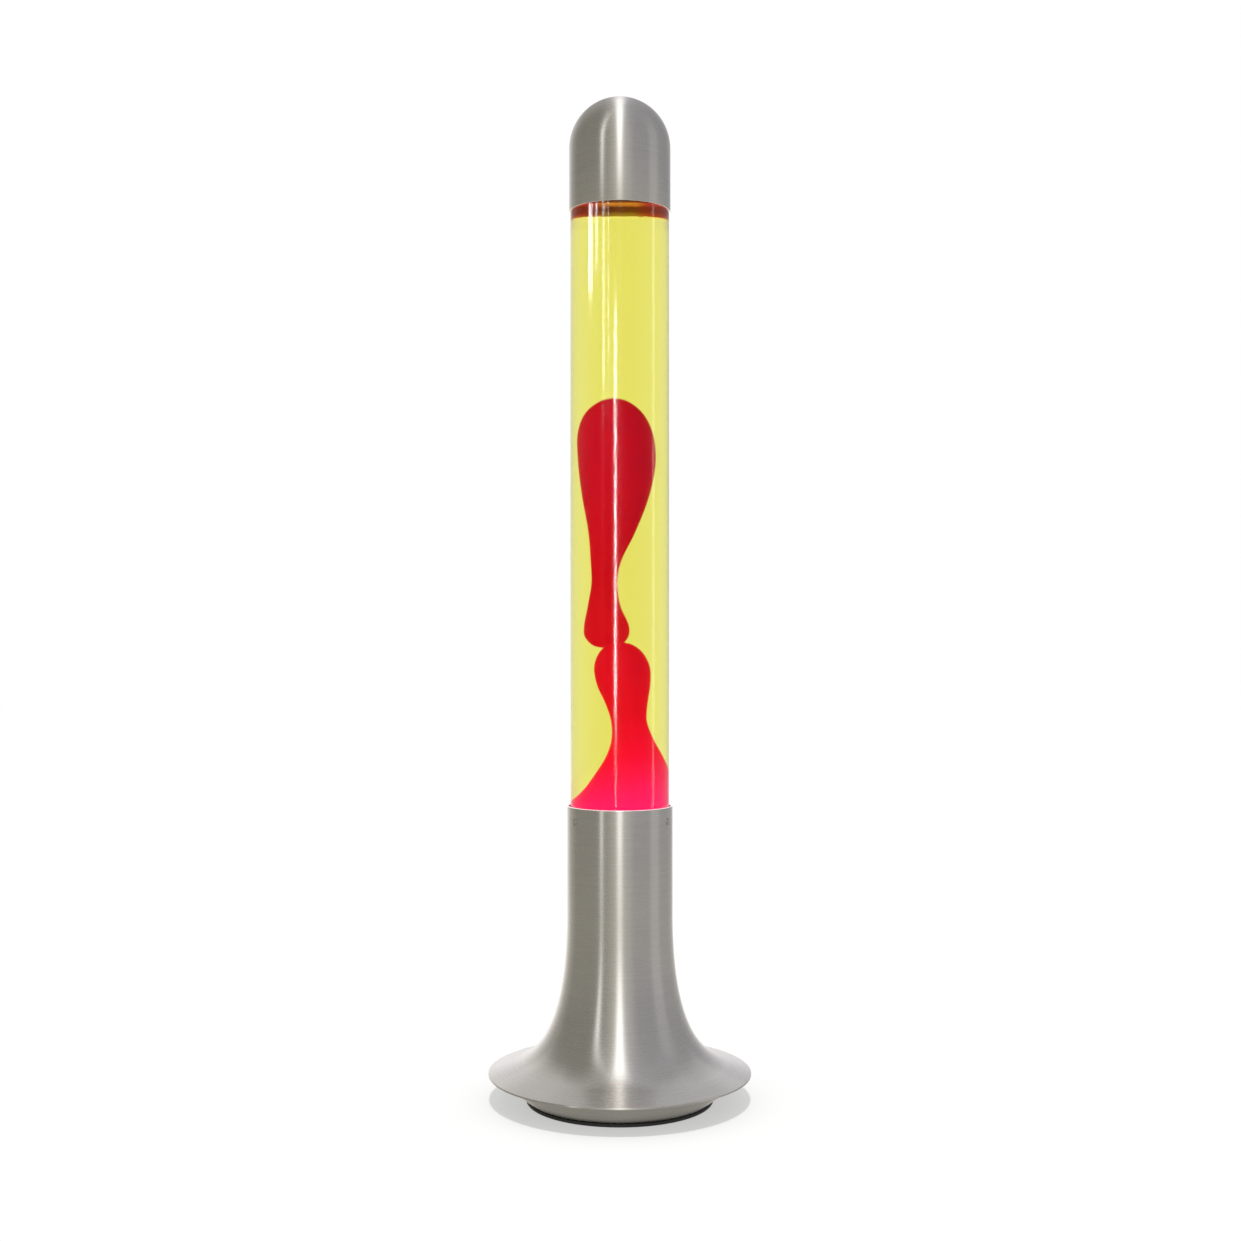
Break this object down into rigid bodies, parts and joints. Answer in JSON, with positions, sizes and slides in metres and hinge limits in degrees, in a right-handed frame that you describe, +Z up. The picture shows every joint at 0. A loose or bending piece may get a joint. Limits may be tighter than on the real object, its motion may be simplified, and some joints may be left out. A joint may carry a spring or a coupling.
{
  "type": "lava lamp",
  "caption": "Tall lava lamp: spun trumpet base with lampholder and bulb, lift-out glass tube of yellow liquid and red wax, and lift-off dome cap.",
  "frame": {"origin": "centre of the foot, on the surface that the lamp stands on", "axes": "+Z up along the tube's axis; the front faces -Y; +X to the right"},
  "size_m": [0.1976, 0.1986, 0.7608],
  "materials": {
    "spun_aluminium": "spun and brushed round the axis, satin",
    "zinc_steel": "zinc plated",
    "rubber": "moulded, matt",
    "bottle_glass": "clear, polished",
    "liquid": "clear yellow liquid",
    "wax": "translucent red wax, lit from below",
    "bulb_glass": "frosted face, mirrored cone",
    "bulb_metal": "bright nickel",
    "contact_brass": "bright",
    "ceramic": "white glazed",
    "block_nylon": "natural nylon",
    "lead_brown": "brown insulation",
    "lead_blue": "blue insulation",
    "lead_green_yellow": "green and yellow insulation",
    "pad_felt": "dense felt",
    "liner": "soft white sealing liner"
  },
  "bodies": {
    "base": {"trumpet_base": "spun_aluminium", "foot_dish": "spun_aluminium", "neck_rivet_1": "spun_aluminium", "neck_rivet_2": "spun_aluminium", "neck_rivet_3": "spun_aluminium", "foot_ring": "rubber", "cord_grommet": "rubber", "seat_ring": "zinc_steel", "bottom_plate": "zinc_steel", "lamp_bracket": "zinc_steel", "block_screw": "zinc_steel", "plate_screw_1": "zinc_steel", "plate_screw_2": "zinc_steel", "plate_screw_3": "zinc_steel", "plate_screw_4": "zinc_steel", "bracket_screw_1": "zinc_steel", "bracket_screw_2": "zinc_steel", "lampholder_screw_1": "zinc_steel", "lampholder_screw_2": "zinc_steel", "lampholder_body": "ceramic", "lampholder_shell": "contact_brass", "lampholder_contact": "contact_brass", "earth_tag": "contact_brass", "earth_screw": "contact_brass", "terminal_screw_1": "contact_brass", "terminal_screw_2": "contact_brass", "terminal_screw_3": "contact_brass", "terminal_screw_4": "contact_brass", "terminal_screw_5": "contact_brass", "terminal_screw_6": "contact_brass", "terminal_block": "block_nylon", "lead_live": "lead_brown", "lead_neutral": "lead_blue", "lead_earth": "lead_green_yellow"},
    "bulb": {"bulb_glass": "bulb_glass", "bulb_cap": "bulb_metal", "bulb_tip": "bulb_metal", "bulb_filament": "bulb_metal"},
    "bottle": {"glass_bottle": "bottle_glass", "lamp_liquid": "liquid", "wax_column": "wax", "wire_coil": "zinc_steel", "bottle_closure": "zinc_steel", "closure_liner": "liner"},
    "blob": {"wax_blob": "wax"},
    "cap": {"dome_cap": "spun_aluminium", "cap_pad": "pad_felt"}
  },
  "joints": [
    {"name": "bottle_lift", "type": "slide", "parent": "base", "child": "bottle", "axis": [0, 0, 1], "range_m": [0, 0.06]},
    {"name": "cap_lift", "type": "slide", "parent": "bottle", "child": "cap", "axis": [0, 0, 1], "range_m": [0, 0.075]},
    {"name": "bulb_unscrew", "type": "slide", "parent": "base", "child": "bulb", "axis": [0, 0, 1], "range_m": [0, 0.0127]},
    {"name": "wax_rise", "type": "slide", "parent": "bottle", "child": "blob", "axis": [0, 0, 1], "range_m": [0, 0.15], "deforming": ["lamp_liquid"]}
  ]
}
